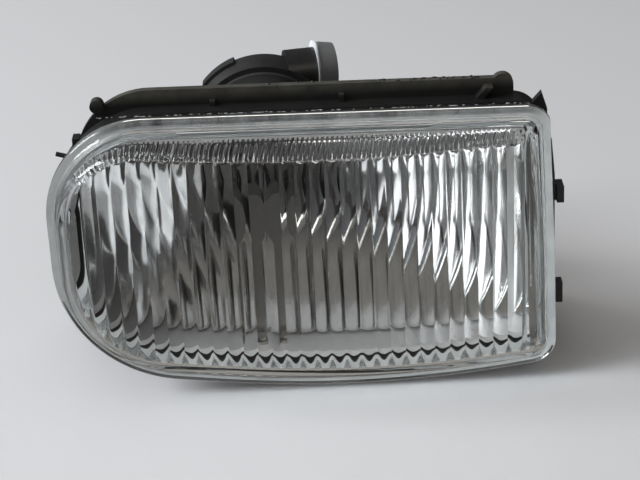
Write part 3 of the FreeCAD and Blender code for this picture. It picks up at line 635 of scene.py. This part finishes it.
def dull_metal(name, colour, rough=(0.22, 0.42)):
    """Plated or bare metal with a fine speckle in its colour, gloss and surface."""
    material, tree, shader, _ = new_material(name)
    speckle = noise(tree, 900.0, 3.0, 0.6)
    darker = tuple(c * 0.8 for c in colour)
    tree.links.new(ramp(tree, speckle, [(0.3, darker), (0.7, colour)]), shader.inputs["Base Color"])
    tree.links.new(spread(tree, speckle, *rough), shader.inputs["Roughness"])
    tree.links.new(bump(tree, speckle, 0.15, 0.00004), shader.inputs["Normal"])
    shader.inputs["Metallic"].default_value = 1.0
    return material


def clear_glass(name, tint, ior):
    """Glass that bends light, and lets lamps through for the shadows of what is behind it."""
    material, tree, shader, output = new_material(name)
    shader.inputs["Base Color"].default_value = (*tint, 1.0)
    shader.inputs["Transmission Weight"].default_value = 1.0
    shader.inputs["Roughness"].default_value = 0.0
    shader.inputs["IOR"].default_value = ior
    clear = tree.nodes.new("ShaderNodeBsdfTransparent")
    clear.inputs["Color"].default_value = (*[0.5 + 0.5 * c for c in tint], 1.0)
    path = tree.nodes.new("ShaderNodeLightPath")
    mix = tree.nodes.new("ShaderNodeMixShader")
    tree.links.new(path.outputs["Is Shadow Ray"], mix.inputs[0])
    tree.links.new(shader.outputs[0], mix.inputs[1])
    tree.links.new(clear.outputs[0], mix.inputs[2])
    tree.links.new(mix.outputs[0], output.inputs["Surface"])
    return material


def reflector_metal():
    """Vacuum-metallised bowl: near mirror, with faint haze, tarnished patches and a duller skirt."""
    material, tree, shader, _ = new_material("reflector_metal")
    haze = noise(tree, 28.0, 5.0, 0.62)
    patches = noise(tree, 60.0, 6.0, 0.7)
    tarnish = [(0.25, (0.42, 0.39, 0.36)), (0.42, (0.74, 0.74, 0.74)), (1.0, (0.82, 0.82, 0.83))]
    tree.links.new(ramp(tree, patches, tarnish), shader.inputs["Base Color"])
    place = place_along(tree, "Object")
    near_lens = spread(tree, place["Y"], 0.46, 0.0, *SKIRT_HAZE)
    left_share = spread(tree, place["X"], 0.35, 1.0, *HAZE_LEFT)
    skirt_haze = math_node(tree, "MULTIPLY", near_lens, left_share)
    roughness = math_node(tree, "ADD", spread(tree, haze, 0.04, 0.16), skirt_haze)
    tree.links.new(roughness, shader.inputs["Roughness"])
    tree.links.new(bump(tree, haze, 0.12, 0.0006), shader.inputs["Normal"])
    shader.inputs["Metallic"].default_value = 1.0
    return material


def paint(node_name, material):
    """Gives a CAD node its material."""
    obj = nodes[node_name]
    obj.data.materials.clear()
    obj.data.materials.append(material)


def paint_nodes():
    black = moulded_plastic("housing_plastic", (0.003, 0.003, 0.003), (0.008, 0.0078, 0.0072), (0.36, 0.56),
                            tint=(0.06, 0.058, 0.048), tint_range=LIP_DUST)
    holder = moulded_plastic("holder_plastic", (0.007, 0.007, 0.007), (0.018, 0.018, 0.016), (0.32, 0.5))
    # the collar's left edge is tinted near white along X: a painted highlight of the light on its rim, not
    # a colour of the plastic
    grey = moulded_plastic("collar_plastic", (0.09, 0.094, 0.096), (0.15, 0.154, 0.156), (0.4, 0.55),
                           tint=(0.85, 0.87, 0.9), tint_axis="X", tint_range=COLLAR_PAINTED_HIGHLIGHT)
    nylon = moulded_plastic("nylon", (0.5, 0.48, 0.4), (0.62, 0.6, 0.52), (0.35, 0.5))
    rubber = moulded_plastic("black_rubber", (0.012, 0.012, 0.012), (0.03, 0.03, 0.028), (0.6, 0.8))
    # the sealant's light grey is partly its own colour and partly painted light, standing in for light
    # carried round inside the glass walls of the flange; the near-black strip along its top is painted
    # shade
    sealant = moulded_plastic("sealant_grey", (0.32, 0.335, 0.345), (0.52, 0.535, 0.54), (0.45, 0.65),
                              tint=(0.03, 0.031, 0.033), tint_range=SEALANT_PAINTED_SHADE)
    bracket = moulded_plastic("bracket_paint", (0.009, 0.009, 0.0095), (0.02, 0.02, 0.02), (0.3, 0.48))
    zinc = dull_metal("zinc_plate", (0.55, 0.55, 0.52))
    steel = dull_metal("dull_steel", (0.3, 0.29, 0.275), (0.3, 0.5))
    tin = dull_metal("tinned_brass", (0.66, 0.6, 0.42))
    quartz = clear_glass("bulb_quartz", (0.97, 0.98, 0.98), 1.46)
    plan = {
        black: ["housing"],
        holder: ["bulb_holder"],
        grey: ["socket_collar"],
        nylon: ["pivot_bush_left", "pivot_bush_right", "screw_bush", "aim_nut"],
        rubber: ["vent_cap", "holder_seal"],
        sealant: ["lens_sealant"],
        bracket: ["bracket"],
        zinc: ["pivot_pin_left", "pivot_pin_right", "plate_nut_left", "plate_nut_right", "aim_screw",
               "screw_retainer", "reflector_screw_1", "reflector_screw_2", "reflector_screw_3"],
        steel: ["bulb_shield", "shield_rivet", "bulb_base", "filament"],
        tin: ["terminals"],
        quartz: ["bulb_glass"],
        reflector_metal(): ["reflector"],
    }
    for material, names in plan.items():
        for name in names:
            paint(name, material)


def smooth_nodes():
    """Smooth shading on the CAD nodes, except across real edges."""
    for obj in nodes.values():
        obj.data.shade_smooth()
        obj.data.set_sharp_from_angle(angle=math.radians(SHARP_ANGLE))


# ============================ stage ============================

def make_stage():
    size = FLOOR_SIZE
    corners = [(-size, -size, 0), (size, -size, 0), (size, size, 0), (-size, size, 0)]
    mesh = bpy.data.meshes.new("floor")
    mesh.from_pydata(corners, [], [(0, 1, 2, 3)])
    floor = bpy.data.objects.new("floor", mesh)
    bpy.context.scene.collection.objects.link(floor)
    material, _, shader, _ = new_material("floor_pale")
    shader.inputs["Base Color"].default_value = FLOOR_COLOUR
    shader.inputs["Roughness"].default_value = 0.5
    shader.inputs["Specular IOR Level"].default_value = 0.25
    mesh.materials.append(material)
    floor.visible_glossy = False
    floor.visible_transmission = False


def make_world():
    world = bpy.data.worlds.new("studio")
    bpy.context.scene.world = world
    world.use_nodes = True
    tree = world.node_tree
    background = tree.nodes["Background"]
    coords = tree.nodes.new("ShaderNodeTexCoord")
    towards = tree.nodes.new("ShaderNodeVectorMath")
    towards.operation = "DOT_PRODUCT"
    towards.inputs[1].default_value = ROOM_LIGHT_WAY
    tree.links.new(coords.outputs["Generated"], towards.inputs[0])
    level = spread(tree, towards.outputs["Value"], 0.0, 1.0, -1.0, 1.0)
    room = ramp(tree, level, ROOM_SHADES)
    down = spread(tree, place_along(tree, "Generated")["Z"], 1.0, 0.0, *TABLE_SHEEN)
    table = ramp(tree, down, [(0.0, BLACK), (1.0, TABLE_GLOW)])
    both = tree.nodes.new("ShaderNodeMixRGB")
    both.blend_type = "ADD"
    both.inputs[0].default_value = 1.0
    tree.links.new(room, both.inputs[1])
    tree.links.new(table, both.inputs[2])
    tree.links.new(both.outputs[0], background.inputs["Color"])
    background.inputs["Strength"].default_value = ROOM_STRENGTH


def soft_light(name, place, size, power, colour):
    """Rectangular lamp that faces the object."""
    data = bpy.data.lights.new(name, "AREA")
    data.shape = "RECTANGLE"
    data.size, data.size_y = size
    data.energy = power
    data.color = colour
    light = bpy.data.objects.new(name, data)
    bpy.context.scene.collection.objects.link(light)
    light.location = place
    way = Vector(LIGHT_TARGET) - Vector(place)
    light.rotation_euler = way.to_track_quat("-Z", "Y").to_euler()
    return light


def make_lights():
    """A window at the left, a weak lamp in front, and a fill from above that isn't reflected."""
    soft_light("window", (-1.7, -0.2, 1.3), (1.3, 0.9), 62.0, (0.955, 0.98, 1.0))
    soft_light("room", (0.2, -2.0, 1.35), (2.0, 0.6), 10.0, (1.0, 0.96, 0.9))
    fill = soft_light("fill", (-0.2, 0.2, 2.4), (2.4, 2.4), 13.0, (1.0, 0.93, 0.8))
    fill.visible_glossy = False
    fill.visible_transmission = False


def make_camera():
    """Camera in front of the lens, raised and rolled a little."""
    elevation = math.radians(CAMERA_ELEVATION)
    roll = math.radians(CAMERA_ROLL)
    back = Vector((0.0, -math.cos(elevation), math.sin(elevation)))
    right = Vector((1.0, 0.0, 0.0))
    up = back.cross(right)
    level_right = math.cos(roll) * right + math.sin(roll) * up
    level_up = math.cos(roll) * up - math.sin(roll) * right
    data = bpy.data.cameras.new("camera")
    data.sensor_width = CAMERA_SENSOR
    data.lens = CAMERA_LENS
    data.clip_start = 0.01
    camera = bpy.data.objects.new("camera", data)
    bpy.context.scene.collection.objects.link(camera)
    place = LENS_CENTRE + CAMERA_DISTANCE * back + CAMERA_SIDE * level_right + CAMERA_RISE * level_up
    camera.matrix_world = Matrix((
        (level_right.x, level_up.x, back.x, place.x),
        (level_right.y, level_up.y, back.y, place.y),
        (level_right.z, level_up.z, back.z, place.z),
        (0.0, 0.0, 0.0, 1.0)))
    bpy.context.scene.camera = camera


# ============================ build ============================

make_camera()
make_stage()
make_world()
make_lights()
smooth_nodes()
paint_nodes()
make_sealant_flecks()
make_lip_flash()
lens = make_lens()
lens.data.materials.append(clear_glass("lens_glass", (0.965, 0.975, 0.975), 1.5))
bpy.context.scene.view_settings.view_transform = "Standard"
